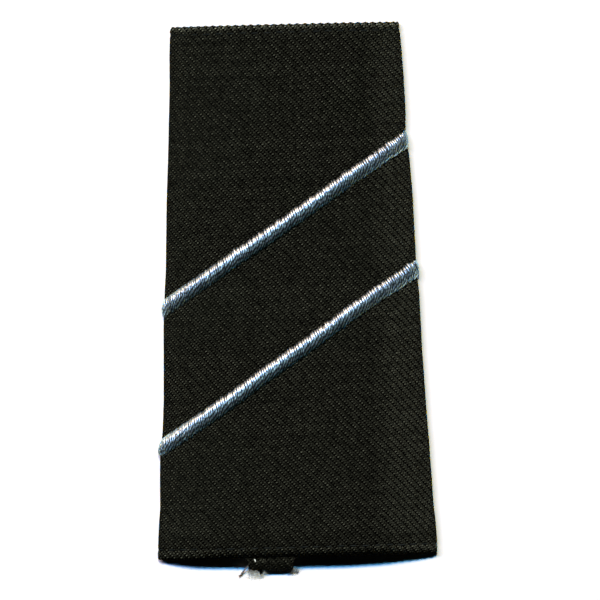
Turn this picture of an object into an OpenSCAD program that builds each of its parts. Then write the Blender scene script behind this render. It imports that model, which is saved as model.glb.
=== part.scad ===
// Slip-on shoulder mark: a tapered cloth sleeve with two slanting embroidered stripes across its front.
// It lies face up. +Y points to the narrow end, +X to the right seen from the front and +Z up.
// The origin is on the resting back face, halfway along the sleeve.

/* [Sleeve] */
// Length from the wide hem to the narrow hem
sleeve_length = 108; // [90:1:130]
// Width across the side folds at the narrow end, which points to the collar
narrow_width = 46.3; // [40:0.1:54]
// Width across the side folds at the wide end
wide_width = 56.4; // [50:0.1:66]
// Height of the bowed front at its highest, over the surface that the sleeve lies on
front_height = 7; // [6:0.1:10]
// Thickness of the cloth with its interlining
cloth_t = 1; // [0.8:0.1:1.4]
// Inside radius of the two pressed side folds
fold_inside_r = 0.3; // [0.2:0.1:0.8]
// Slope at which the front leaves a side fold, in degrees
fold_slope = 30; // [20:1:40]

/* [Hems] */
// Distance of the stitch line from the narrow edge
narrow_stitch_in = 1.5; // [1.2:0.1:4]
// Distance of the stitch line from the wide edge
wide_stitch_in = 2; // [1.2:0.1:4]
// Depth that the stitching draws into the outside of the cloth
stitch_groove_d = 0.15; // [0.05:0.05:0.3]
// Width of the groove that the stitching draws
stitch_groove_w = 1.2; // [0.6:0.1:1.6]
// Radius of the turned edge of each hem
hem_edge_r = 0.35; // [0.2:0.05:0.38]

/* [Back seam] */
// Distance of the back seam to the left of the centre line
seam_offset = 5.4; // [3:0.1:8]
// Gap between the two edges of cloth that meet at the back seam
seam_gap = 0.3; // [0.2:0.1:0.6]
// Width of each seam allowance, which lies pressed open inside the sleeve
allowance_width = 6; // [4:0.1:8]
// Thickness of a seam allowance
allowance_t = 1; // [0.8:0.1:1.2]
// Length of the allowances that hangs out of the wide end
allowance_overhang = 3.2; // [1.5:0.1:6]
// Distance at which the allowances stop short of the narrow edge
allowance_inset = 2; // [1:0.1:6]
// Radius of the allowances' worn outer corners
allowance_corner_r = 1.2; // [0.5:0.1:2]
// Clearance between an allowance and the back panel under it
allowance_gap = 0.1; // [0.05:0.05:0.3]

/* [Stripes] */
// Rise of both stripes from left to right, in degrees from straight across
stripe_angle = 33.7; // [25:0.1:40]
// Width of a stripe, square to its run
stripe_width = 2.9; // [2:0.1:4]
// Height of a stripe's padded stitching over the cloth
stripe_height = 0.85; // [0.5:0.05:1.2]
// Height of a stripe's two long edges, as a share of its full height
stripe_edge_share = 0.2; // [0.1:0.05:0.5]
// Distance of the upper stripe above mid-length, on the centre line
upper_stripe_up = 14.1; // [8:0.1:18]
// Distance of the lower stripe below mid-length, on the centre line
lower_stripe_down = 13.2; // [8:0.1:18]
// How far round each side fold a stripe runs, in degrees from the top of the fold
stripe_wrap = 145; // [120:1:150]
// Clearance between a stripe and the cloth under it
stripe_gap = 0.08; // [0.05:0.01:0.12]

/* [Hidden] */

cloth_colour = [0.106, 0.11, 0.09];
stripe_colour = [0.68, 0.7, 0.8];

// Outside radius of a side fold
fold_r = cloth_t + fold_inside_r;
// Height of the point where the bowed front meets a side fold
joint_z = fold_r * (1 + cos(fold_slope));

// Steps of the mesh across the front on each side, round a fold, across the back and across a stripe
front_steps = 10;
fold_steps = 9;
back_steps = 2;
stripe_front_steps = 14;
stripe_fold_steps = 9;
stripe_across_steps = 8;

// Columns of the sections table
AT = 0;
LEFT = 1;
RIGHT = 2;
HEIGHT = 3;
// How the sleeve strays from an even taper, from the wide edge to the narrow one. AT is a share of the
// length, LEFT and RIGHT are shares of the even half width there, and HEIGHT is a share of front_height.
// The folds are drawn in beside the ends of the stripes, and both mouths stand a little open.
sections = [
    // AT, LEFT, RIGHT, HEIGHT
    [0.00, 1.002, 1.006, 1.000],
    [0.05, 1.003, 1.003, 0.990],
    [0.10, 0.993, 1.000, 0.980],
    [0.15, 0.999, 1.002, 0.970],
    [0.20, 1.004, 0.997, 0.965],
    [0.24, 0.985, 1.000, 0.960],
    [0.30, 0.982, 1.001, 0.960],
    [0.38, 0.992, 1.002, 0.955],
    [0.45, 1.004, 1.006, 0.955],
    [0.49, 0.986, 1.007, 0.955],
    [0.55, 0.987, 1.000, 0.955],
    [0.61, 0.990, 1.006, 0.955],
    [0.68, 0.993, 1.012, 0.960],
    [0.75, 0.987, 1.010, 0.965],
    [0.79, 0.986, 0.977, 0.970],
    [0.84, 0.986, 1.001, 0.975],
    [0.90, 0.990, 1.006, 0.985],
    [0.95, 0.996, 1.000, 0.992],
    [1.00, 1.000, 0.996, 1.000],
];

// The value of a column of the sections table at a place along the sleeve
function section_value(column, y) =
    lookup(y / sleeve_length + 1 / 2, [for (row = sections) [row[AT], row[column]]]);

// Half width at a place along the sleeve, on the right where side is 1 and on the left where it is -1
function half_width(side, y) =
    let (
        even = (wide_width + (narrow_width - wide_width) * (y / sleeve_length + 1 / 2)) / 2
    )
    even * section_value(side > 0 ? RIGHT : LEFT, y);

// Distance of a side fold's axis from the centre line
function fold_x(side, y) = half_width(side, y) - fold_r;

// Distance from the centre line at which the bowed front meets a side fold
function joint_x(side, y) = fold_x(side, y) + fold_r * sin(fold_slope);

// Points of the skin, each at a depth under its outside, or over it where the depth is negative.
// On the front, share runs from 0 on the centre line to 1 at the fold, and the bow's power makes its slope
// meet the fold's.
function front_point(side, share, y, depth) =
    let (
        top = front_height * section_value(HEIGHT, y),
        drop = top - joint_z,
        reach = joint_x(side, y),
        power = reach * tan(fold_slope) / drop,
        slope = atan(tan(fold_slope) * pow(share, power - 1))
    )
    [
        side * (reach * share - depth * sin(slope)),
        y,
        top - drop * pow(share, power) - depth * cos(slope)
    ];

// On a fold, angle runs from fold_slope at the front to 180 at the back
function fold_point(side, angle, y, depth) =
    [
        side * (fold_x(side, y) + (fold_r - depth) * sin(angle)),
        y,
        fold_r + (fold_r - depth) * cos(angle)
    ];

// On the back, share runs from 0 at the fold to 1 at the seam
function back_point(side, share, y, depth) =
    let (
        fold = side * fold_x(side, y),
        seam = side * seam_gap / 2 - seam_offset
    )
    [fold + (seam - fold) * share, y, depth];

// Stations round one side of the sleeve, from the centre of the front to the back seam
FRONT = 0;
FOLD = 1;
BACK = 2;
side_stations = concat(
    [for (i = [1:front_steps]) [FRONT, i / front_steps]],
    [for (i = [1:fold_steps]) [FOLD, fold_slope + (180 - fold_slope) * i / fold_steps]],
    [for (i = [1:back_steps]) [BACK, i / back_steps]]
);
stations = concat(
    [for (i = [len(side_stations) - 1:-1:0]) concat(-1, side_stations[i])],
    [[1, FRONT, 0]],
    [for (station = side_stations) concat(1, station)]
);

// A point of the skin at one station
function skin(station, y, depth) =
    station[1] == FRONT ? front_point(station[0], station[2], y, depth)
    : station[1] == FOLD ? fold_point(station[0], station[2], y, depth)
    : back_point(station[0], station[2], y, depth);

// Rows that shape a hem, from its edge inwards: the distance from the edge, then how far the outside and
// the inside of the cloth are drawn in
edge_bend = 1 - cos(45);
function hem_rows(stitch_in) = [
    [0, hem_edge_r, hem_edge_r],
    [hem_edge_r * edge_bend, hem_edge_r * edge_bend, hem_edge_r * edge_bend],
    [hem_edge_r, 0, 0],
    [stitch_in - stitch_groove_w / 2, 0, 0],
    [stitch_in, stitch_groove_d, 0],
    [stitch_in + stitch_groove_w / 2, 0, 0],
];

// Rows along the sleeve: the place, then how far the outside and the inside are drawn in
wide_hem = hem_rows(wide_stitch_in);
narrow_hem = hem_rows(narrow_stitch_in);
hem_end = len(wide_hem) - 1;
wide_edge_y = -sleeve_length / 2;
narrow_edge_y = sleeve_length / 2;
section_ys = [for (row = sections) wide_edge_y + sleeve_length * row[AT]];
rows = concat(
    [for (row = wide_hem) [wide_edge_y + row[0], row[1], row[2]]],
    [
        for (y = section_ys)
        if (y > wide_edge_y + wide_hem[hem_end][0] && y < narrow_edge_y - narrow_hem[hem_end][0])
        [y, 0, 0]
    ],
    [for (i = [hem_end:-1:0]) [narrow_edge_y - narrow_hem[i][0], narrow_hem[i][1], narrow_hem[i][2]]]
);

// A solid through a list of rings of equal length. The second half of each ring runs back beside the first,
// so that each end closes with a strip across it.
module loft(rings) {
    n = len(rings[0]);
    last = (len(rings) - 1) * n;
    walls = [
        for (j = [0:len(rings) - 2])
        for (i = [0:n - 1])
        let (a = j * n + i, b = j * n + (i + 1) % n)
        each [[a, a + n, b], [b, a + n, b + n]]
    ];
    ends = [
        for (i = [0:n / 2 - 2])
        let (a = i, b = i + 1, c = n - 2 - i, d = n - 1 - i)
        each [
            [a, b, c],
            [a, c, d],
            [last + a, last + c, last + b],
            [last + a, last + d, last + c]
        ]
    ];
    polyhedron(points = [for (ring = rings) each ring], faces = concat(walls, ends), convexity = 8);
}

// The cloth, wrapped from the back seam round both side folds
module sleeve() {
    color(cloth_colour)
        loft([
            for (row = rows)
            concat(
                [for (station = stations) skin(station, row[0], row[1])],
                [for (i = [len(stations) - 1:-1:0]) skin(stations[i], row[0], cloth_t - row[2])]
            )
        ]);
}

// One allowance of the back seam, to the right of the seam where side is 1 and to the left where it is -1
module seam_allowance(side) {
    r = allowance_corner_r;
    low = wide_edge_y - allowance_overhang;
    high = narrow_edge_y - allowance_inset;
    outer = seam_gap / 2 + allowance_width;
    corner = [for (a = [-90:15:0]) [outer - r + r * cos(a), low + r + r * sin(a)]];
    outline = concat([[seam_gap / 2, high], [seam_gap / 2, low]], corner, [[outer, high]]);
    color(cloth_colour)
        translate([-seam_offset, 0, cloth_t + allowance_gap])
        linear_extrude(allowance_t)
        polygon([for (p = outline) [side * p[0], p[1]]]);
}

module seam_allowance_left() {
    seam_allowance(-1);
}

module seam_allowance_right() {
    seam_allowance(1);
}

// Stations along a stripe, from its left end round the left fold, over the front and round the right fold
stripe_side_stations = concat(
    [for (i = [1:stripe_front_steps]) [FRONT, i / stripe_front_steps]],
    [for (i = [1:stripe_fold_steps]) [FOLD, fold_slope + (stripe_wrap - fold_slope) * i / stripe_fold_steps]]
);
stripe_stations = concat(
    [for (i = [len(stripe_side_stations) - 1:-1:0]) concat(-1, stripe_side_stations[i])],
    [[1, FRONT, 0]],
    [for (station = stripe_side_stations) concat(1, station)]
);

// Distance over the cloth from the centre line to a station
function run(station, y) =
    station[1] == FRONT ? joint_x(station[0], y) * station[2]
    : joint_x(station[0], y) + fold_r * (station[2] - fold_slope) * PI / 180;

// Place along the sleeve of a stripe's middle at a station, worked out twice because the sleeve tapers
function stripe_y(station, centre_y) =
    let (first = centre_y + station[0] * run(station, centre_y) * tan(stripe_angle))
    centre_y + station[0] * run(station, first) * tan(stripe_angle);

// Height of a stripe at a station, pressed flat where it would reach under the resting face
function stripe_top(station) =
    station[1] == FOLD && station[2] > 90
    ? min(stripe_height, fold_r / -cos(station[2]) - fold_r - stripe_gap)
    : stripe_height;

// A ring across a stripe, cut along the sleeve: over its domed top, then back along the cloth
function stripe_ring(station, centre_y) =
    let (
        y = stripe_y(station, centre_y),
        reach = stripe_width / 2 / cos(stripe_angle),
        top = stripe_top(station),
        angles = [for (i = [0:stripe_across_steps]) 180 * i / stripe_across_steps]
    )
    concat(
        [
            for (a = angles)
            skin(
                station,
                y + reach * cos(a),
                -stripe_gap - top * (stripe_edge_share + (1 - stripe_edge_share) * sin(a))
            )
        ],
        [for (i = [stripe_across_steps:-1:0]) skin(station, y + reach * cos(angles[i]), -stripe_gap)]
    );

// A stripe whose middle crosses the centre line at centre_y
module stripe(centre_y) {
    color(stripe_colour)
        loft([for (station = stripe_stations) stripe_ring(station, centre_y)]);
}

module upper_stripe() {
    stripe(upper_stripe_up);
}

module lower_stripe() {
    stripe(-lower_stripe_down);
}

sleeve();
seam_allowance_left();
seam_allowance_right();
upper_stripe();
lower_stripe();
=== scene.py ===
import math

import bpy
import numpy as np
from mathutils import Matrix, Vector


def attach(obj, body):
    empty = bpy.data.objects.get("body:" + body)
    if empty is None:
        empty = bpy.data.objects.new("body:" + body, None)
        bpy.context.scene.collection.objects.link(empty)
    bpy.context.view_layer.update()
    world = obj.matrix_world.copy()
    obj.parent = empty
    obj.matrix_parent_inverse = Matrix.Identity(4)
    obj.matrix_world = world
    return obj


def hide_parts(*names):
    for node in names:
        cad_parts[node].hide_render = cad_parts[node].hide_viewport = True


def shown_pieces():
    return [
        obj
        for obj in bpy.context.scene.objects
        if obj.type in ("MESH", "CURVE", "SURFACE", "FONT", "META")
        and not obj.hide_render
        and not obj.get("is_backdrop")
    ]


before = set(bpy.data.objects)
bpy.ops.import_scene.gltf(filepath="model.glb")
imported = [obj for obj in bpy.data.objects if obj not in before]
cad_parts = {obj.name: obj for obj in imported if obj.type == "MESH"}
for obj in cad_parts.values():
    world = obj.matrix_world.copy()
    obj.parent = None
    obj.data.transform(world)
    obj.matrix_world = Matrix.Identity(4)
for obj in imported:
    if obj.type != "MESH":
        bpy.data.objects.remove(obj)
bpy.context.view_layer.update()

mm = 0.001

# The sleeve, in mm. Its outline is the one in the frame.
sleeve = {
    "length": 108.0,
    "narrowWidth": 46.3,
    "wideWidth": 56.4,
    "frontHeight": 7.0,
    "foldRadius": 1.3,
    "foldSlope": 30.0,      # degrees at which the front leaves a side fold
    "seamX": -5.4,          # back seam
    "seamHalf": 0.55,
    "seamBend": 0.5,        # radius of the cloth where it turns up into the seam
    "wall": 0.75,           # cloth with its interlining
    "hemWall": 1.0,         # the same with the hem turned in
    "hemDepth": 11.0,
    "hemStep": 0.35,        # length over which the wall thins past the hem
    "wideStitchIn": 2.0,
    "narrowStitchIn": 1.5,
    "wideRoll": 0.9,        # length over which a turned edge rounds off
    "narrowRoll": 0.8,
    "rollShare": 0.5,       # how much of that rounding is on the outside
    "narrowOut": 0.15,      # how far the narrow edge stands out past its place, and from how far in
    "narrowOutFrom": 4.0,
    "droopFrom": 2.1,       # where the front starts to droop to the wide edge, and how steeply
    "droopBend": 0.9,
    "droopSlope": 0.78,
    "cornerFrom": (0.5, 0.6),       # share of the way to the left and right fold where it droops less
    "cornerOver": (0.3, 0.4),
    "cornerLess": 0.85,
    "grooveDepth": 0.22,    # of the stitch lines, which go deeper at every stitch
    "grooveWidth": 0.38,
    "grooveStep": 2.5,
    "softWaves": ((0.06, 9.0, 3), (0.03, 3.5, 4)),      # height, size and seed
    "scallops": (-0.03, 0.11),      # how far the ribs stand out of the wide and the narrow edge
    "flatUnder": 0.25,      # up to this height the cloth lies flat on the table
    "tableGap": 0.004,
    "columnStep": 0.32,     # spacing of the mesh over the front
    "rowStep": 0.45,
    "wideRows": (12, 0.15, 3.4, 0.17),      # rows over the roll, then the first, the end and the step
    "narrowRows": (8, 0.18, 3.0, 0.2),
    "foldSteps": 12,
    "seamSteps": 4,
    "backCoarser": 2.6,     # how much wider the columns of the back are
}

# Place along the length from the wide end, then the left, right and height shares there
sections = np.array([
    [0.00, 1.007, 1.015, 1.000], [0.05, 1.003, 1.017, 0.990], [0.10, 0.996, 1.010, 0.980],
    [0.15, 1.002, 1.010, 0.970], [0.20, 1.006, 1.010, 0.965], [0.24, 0.990, 1.009, 0.960],
    [0.30, 0.986, 1.008, 0.960], [0.38, 0.993, 1.008, 0.955], [0.45, 1.001, 1.013, 0.955],
    [0.49, 0.999, 1.016, 0.955], [0.55, 0.990, 1.011, 0.955], [0.61, 0.995, 1.014, 0.955],
    [0.68, 0.997, 1.021, 0.960], [0.75, 0.995, 1.016, 0.965], [0.79, 0.994, 0.999, 0.970],
    [0.84, 0.994, 1.013, 0.975], [0.90, 0.995, 1.015, 0.985], [0.95, 1.002, 1.015, 0.992],
    [1.00, 1.001, 1.009, 1.000],
])


def sectionValue(column, y):
    return np.interp(y / sleeve["length"] + 0.5, sections[:, 0], sections[:, column])


def halfWidth(side, y):
    share = y / sleeve["length"] + 0.5
    even = (sleeve["wideWidth"] + (sleeve["narrowWidth"] - sleeve["wideWidth"]) * share) / 2
    return even * sectionValue(2 if side > 0 else 1, y)


# Distance from the centre line at which the bowed front meets a side fold
def frontReach(side, y):
    slope = math.radians(sleeve["foldSlope"])
    return halfWidth(side, y) - sleeve["foldRadius"] * (1 - math.sin(slope))


# x and z of points of the cloth, at a depth under its outside
def clothPoint(side, kind, share, y, depth):
    r = sleeve["foldRadius"]
    slope = math.radians(sleeve["foldSlope"])
    foldX = halfWidth(side, y) - r
    if kind == "front":
        reach = frontReach(side, y)
        top = sleeve["frontHeight"] * sectionValue(3, y)
        drop = top - r * (1 + math.cos(slope))
        power = reach * math.tan(slope) / drop
        tilt = np.arctan(math.tan(slope) * share ** (power - 1))
        height = top - drop * share ** power - depth * np.cos(tilt)
        return side * (reach * share - depth * np.sin(tilt)), height
    if kind == "fold":
        a = slope + (math.pi - slope) * share
        return side * (foldX + (r - depth) * np.sin(a)), r + (r - depth) * np.cos(a)
    start = side * foldX
    end = sleeve["seamX"] + side * sleeve["seamHalf"]
    if kind == "back":
        return start + (end - start) * share, depth + 0 * y
    # the edge turns up into the seam
    a = share * math.pi / 2
    bend = sleeve["seamBend"]
    return end - side * bend * math.sin(a) + 0 * y, bend - (bend - depth) * math.cos(a)


# Stations round the cloth from one side of the back seam to the other
def clothStations(step):
    across = sleeve["wideWidth"] / 2 / step
    counts = (("front", int(round(across))), ("fold", sleeve["foldSteps"]),
              ("back", int(round(across / sleeve["backCoarser"]))), ("seam", sleeve["seamSteps"]))
    half = [(kind, i / count) for kind, count in counts for i in range(1, count + 1)]
    return [(-1, *s) for s in reversed(half)] + [(1, "front", 0.0)] + [(1, *s) for s in half]


# x and z for every row and station
def clothGrid(stations, ys, depths):
    x = np.zeros((len(ys), len(stations)))
    z = np.zeros_like(x)
    for c, (side, kind, share) in enumerate(stations):
        x[:, c], z[:, c] = clothPoint(side, kind, share, ys, depths[:, c])
    return x, z


# Distances over the cloth from the centre line
def overCloth(x, z):
    steps = np.hypot(np.diff(x, axis=1), np.diff(z, axis=1))
    run = np.concatenate([np.zeros((len(x), 1)), np.cumsum(steps, axis=1)], axis=1)
    centre = x.shape[1] // 2
    return run - run[:, centre:centre + 1]


# A table of the outside of the cloth, to lay threads on it by their distance from the centre line
tableStations = clothStations(0.1)
tableYs = np.linspace(-sleeve["length"] / 2 - 4, sleeve["length"] / 2 + 4, 465)
tableX, tableZ = clothGrid(tableStations, tableYs, np.zeros((len(tableYs), len(tableStations))))
tableRun = overCloth(tableX, tableZ)
runStep = 0.1
runs = np.arange(-62, 72, runStep)
evenX = np.array([np.interp(runs, r, x) for r, x in zip(tableRun, tableX)])
evenZ = np.array([np.interp(runs, r, z) for r, z in zip(tableRun, tableZ)])


def lookUp(table, u, y):
    fy = np.clip((y - tableYs[0]) / (tableYs[1] - tableYs[0]), 0, len(tableYs) - 1.001)
    fu = np.clip((u - runs[0]) / runStep, 0, len(runs) - 1.001)
    j, i = fy.astype(int), fu.astype(int)
    b, a = fy - j, fu - i
    return ((table[j, i] * (1 - a) + table[j, i + 1] * a) * (1 - b)
            + (table[j + 1, i] * (1 - a) + table[j + 1, i + 1] * a) * b)


# Place and outward direction on the cloth, at a distance u over it from the centre line
def onCloth(u, y):
    u, y = np.broadcast_arrays(np.asarray(u, float), np.asarray(y, float))
    before, after = u - 0.15, u + 0.15
    point = np.stack([lookUp(evenX, u, y), y, lookUp(evenZ, u, y)], axis=-1)
    along = np.stack([lookUp(evenX, after, y) - lookUp(evenX, before, y), 0 * y,
                      lookUp(evenZ, after, y) - lookUp(evenZ, before, y)], axis=-1)
    out = np.stack([-along[..., 2], 0 * y, along[..., 0]], axis=-1)
    return point, out / np.linalg.norm(out, axis=-1, keepdims=True)


# Smooth seeded waves, about -1 to 1, for cloth that is never quite even
def softWaves(u, v, size, seed, count=9):
    r = np.random.default_rng(seed)
    total = 0
    for _ in range(count):
        a = r.uniform(0, 2 * math.pi)
        k = 2 * math.pi / (size * r.uniform(0.7, 1.6))
        total = total + np.sin(k * (u * math.cos(a) + v * math.sin(a)) + r.uniform(0, 6.3))
    return total / math.sqrt(count) / 1.2


# 0 up to a start and 1 from a length past it. A length below 0 runs the other way.
def climb(value, start, length):
    return np.clip((value - start) / length, 0, 1)


def addObject(name, data):
    added = bpy.data.objects.new(name, data)
    bpy.context.scene.collection.objects.link(added)
    return added


def addPiece(name, points, faces, material, uvs=None, tone=None):
    mesh = bpy.data.meshes.new(name)
    mesh.from_pydata(np.asarray(points, float) * mm, [], [list(f) for f in faces])
    if uvs is not None:
        layer = mesh.uv_layers.new(name="clothFlat")
        corner = np.zeros(len(mesh.loops), np.int32)
        mesh.loops.foreach_get("vertex_index", corner)
        layer.data.foreach_set("uv", np.asarray(uvs, np.float32)[corner].ravel())
    if tone is not None:
        mesh.attributes.new("tone", "FLOAT", "POINT").data.foreach_set("value", np.asarray(tone, np.float32))
    mesh.polygons.foreach_set("use_smooth", np.ones(len(mesh.polygons), bool))
    mesh.materials.append(material)
    mesh.update()
    piece = addObject(name, mesh)
    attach(piece, "root")
    return piece


# Quads between the rows of a grid of vertex numbers, split along the ribs
def gridFaces(ids, flip=False):
    a, b, c, d = ids[:-1, :-1], ids[:-1, 1:], ids[1:, 1:], ids[1:, :-1]
    order = (d, c, b, a) if flip else (b, c, d, a)
    return np.stack([o.ravel() for o in order], axis=1).tolist()


# Triangles between two lines of vertex numbers that run side by side along y
def zipFaces(idsA, ysA, idsB, ysB, flip=False):
    faces, i, j = [], 0, 0
    while i < len(idsA) - 1 or j < len(idsB) - 1:
        stepA = j == len(idsB) - 1 or (i < len(idsA) - 1 and ysA[i + 1] <= ysB[j + 1])
        corner = [idsA[i], idsB[j], idsA[i + 1] if stepA else idsB[j + 1]]
        if len(set(corner)) == 3:
            faces.append(corner[::-1] if flip else corner)
        i, j = (i + 1, j) if stepA else (i, j + 1)
    return faces


# Closed tubes along many paths at once. paths is strand x step x 3 and outs the directions that face out
# of the cloth. turn and lobe make a two-ply thread whose plies turn round each other.
def spinTubes(paths, outs, radii, turn=None, lobe=0.0, sides=8, phase=None, flatness=1.0):
    strands, steps, _ = paths.shape
    tangent = np.gradient(paths, axis=1)
    tangent /= np.linalg.norm(tangent, axis=-1, keepdims=True) + 1e-12
    side = np.cross(tangent, outs)
    side /= np.linalg.norm(side, axis=-1, keepdims=True) + 1e-12
    up = np.cross(side, tangent)
    length = np.concatenate([np.zeros((strands, 1)),
                             np.cumsum(np.linalg.norm(np.diff(paths, axis=1), axis=-1), axis=1)], axis=1)
    theta = np.arange(sides) * 2 * math.pi / sides
    radius = np.broadcast_to(radii, (strands, steps))[..., None] * np.ones(sides)
    crest = np.ones(radius.shape)
    if turn:
        start = np.zeros(strands) if phase is None else phase
        lay = start[:, None, None] - 2 * math.pi * length[..., None] / turn
        crest = np.cos(theta - lay) ** 2
        radius = radius * (1 - lobe + lobe * crest)
    ring = (paths[:, :, None, :]
            + radius[..., None] * (np.cos(theta)[:, None] * side[:, :, None, :]
                                   + flatness * np.sin(theta)[:, None] * up[:, :, None, :]))
    points = ring.reshape(-1, 3)
    ids = np.arange(strands * steps * sides).reshape(strands, steps, sides)
    a, b = ids[:, :-1, :], ids[:, 1:, :]
    nextA, nextB = np.roll(a, -1, axis=2), np.roll(b, -1, axis=2)
    walls = np.stack([a, nextA, nextB, b], axis=-1).reshape(-1, 4).tolist()
    caps = [list(ids[s, 0, ::-1]) for s in range(strands)] + [list(ids[s, -1, :]) for s in range(strands)]
    return points, walls + caps, crest.ravel()


# Small helper for building node trees in a line or two
class Nodes:
    def __init__(self, name):
        self.material = bpy.data.materials.new(name)
        self.material.use_nodes = True
        self.tree = self.material.node_tree
        self.shader = self.tree.nodes["Principled BSDF"]

    def add(self, kind, **settings):
        node = self.tree.nodes.new(kind)
        for key, value in settings.items():
            setattr(node, key, value)
        return node

    def plug(self, source, socket):
        if isinstance(source, (int, float, tuple)):
            socket.default_value = source
        else:
            self.tree.links.new(source, socket)

    def give(self, sources):
        for name, source in sources.items():
            self.plug(source, self.shader.inputs[name])

    def math(self, operation, a, b=None, c=None):
        node = self.add("ShaderNodeMath", operation=operation)
        for socket, source in zip(node.inputs, (a, b, c)):
            if source is not None:
                self.plug(source, socket)
        return node.outputs[0]

    def noise(self, vector, scale, detail=2.0, roughness=0.5):
        node = self.add("ShaderNodeTexNoise")
        self.plug(vector, node.inputs["Vector"])
        for key, value in zip(("Scale", "Detail", "Roughness"), (scale, detail, roughness)):
            node.inputs[key].default_value = value
        return node.outputs["Fac"]

    def ramp(self, source, low, high, toLow, toHigh, smooth=False):
        node = self.add("ShaderNodeMapRange")
        if smooth:
            node.interpolation_type = "SMOOTHSTEP"
        self.plug(source, node.inputs["Value"])
        for key, value in zip(("From Min", "From Max", "To Min", "To Max"), (low, high, toLow, toHigh)):
            node.inputs[key].default_value = value
        return node.outputs[0]

    # a tone that goes as far below 1 as above it
    def spread(self, source, low, high, amount):
        return self.ramp(source, low, high, 1 - amount, 1 + amount)

    def blend(self, share, a, b, mode="MIX"):
        node = self.add("ShaderNodeMix", data_type="RGBA", blend_type=mode, clamp_factor=False)
        self.plug(share, node.inputs[0])
        self.plug(a, node.inputs[6])
        self.plug(b, node.inputs[7])
        return node.outputs[2]

    def bump(self, height, strength, distance):
        node = self.add("ShaderNodeBump")
        for key, source in zip(("Height", "Strength", "Distance"), (height, strength, distance)):
            self.plug(source, node.inputs[key])
        return node.outputs[0]


# The weave: two yarns over, two under, with ribs that fall from left to right
weave = {
    "pitch": (0.394, 0.401),        # from one warp and one weft yarn to the next, in mm
    "edgeRelief": 0.09,     # half the height of the ribs where a hem is turned, and how far in they show
    "edgeReach": 1.6,
}


# Height of the ribs at a place on the flat cloth, from -1 to 1
def ribWave(u, v, start=0):
    return np.cos(2 * math.pi * (u / weave["pitch"][0] + v / weave["pitch"][1] - start) / 4)


# The twill's finish. Heights are in mm over the middle of the cloth. Places on the cloth are in yarns from
# its middle, and places along a yarn in yarns from where it comes up.
twill = {
    # colours from the crown on the painted highlights to black in the painted shade between and beside the
    # yarns
    "crown": (0.0348, 0.0364, 0.0261, 1.0),
    "gap": (0.0, 0.0, 0.0, 1.0),
    "warpRise": 0.178,
    "warpLift": -0.06,
    "weftRise": 0.137,
    "weftRound": 0.077,
    "warpShineAt": 1.40,    # the painted highlight of a warp yarn, a bright stroke: place, sharpness, lean and tone at its sides
    "warpSharp": 0.84,
    "warpLean": 0.36,
    "warpSide": 0.33,
    "weftDimAt": 0.39,      # the painted shade of a weft yarn, a dark spot, in the same way, and its tone beside and in it
    "weftSharp": 0.8,
    "weftLean": 0.84,
    "weftSide": 0.37,
    "weftShine": (0.43, 0.04),
    "uneven": 0.16,         # how far the yarns stray from even spacing, in yarns
    "unevenScales": (0.22, 0.31),
    "hairs": (3.1, 4.0, 0.7),       # scale, detail and roughness of the fibres' noise
    "fuzz": 0.03,
    "roughness": (0.9, 0.5),        # between the yarns and on them
    "warpSpread": 0.07,     # how much the tone varies between yarns, crossings, fibres, patches and specks
    "weftSpread": 0.15,
    "crossingSpread": 0.5,
    "hairSpread": 0.8,
    "patchSpread": 0.04,
    "speckSpread": 0.55,
    # painted waves over the weave, a painted shade that makes the ribs a little stronger and the rows of
    # painted strokes weaker: turns along u and v, place of the crest, how it follows the strokes, depth, and
    # if they grow where the cloth bends right
    "waves": ((1, 1, 0.5, 1, 0.09, False), (2, -2, 1.0, -2, -0.24, True),
              (1, -3, 1.77, -3, -0.085, False), (3, -1, 0.92, -1, -0.06, False)),
    "grow": 1.5,
    "growFrom": (30.0, 54.0),
    # painted light and sheen, lighter along the right, the left and the narrow edge: across or along, from,
    # to, tones, soft
    "worn": ((0, 38.0, 55.0, 1.0, 1.8, True), (0, -60.0, -42.0, 1.15, 1.0, False),
             (1, 131.4, 133.2, 1.0, 3.2, True)),
    # rows along the wide edge: from, to, softness, tone
    "hemRows": ((-129.7, -124.0, 0.6, 0.85), (-132.4, -130.4, 0.5, 1.5)),
    # painted shade: a little darker along the wide edge, where the cloth rounds down away from the light, and
    # not past it: from, to, tones
    "turned": (-134.8, -132.4, 0.6, 1.0),
    "pastEdge": (-135.3, -134.9, 1.0, 0.0),
}


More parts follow.
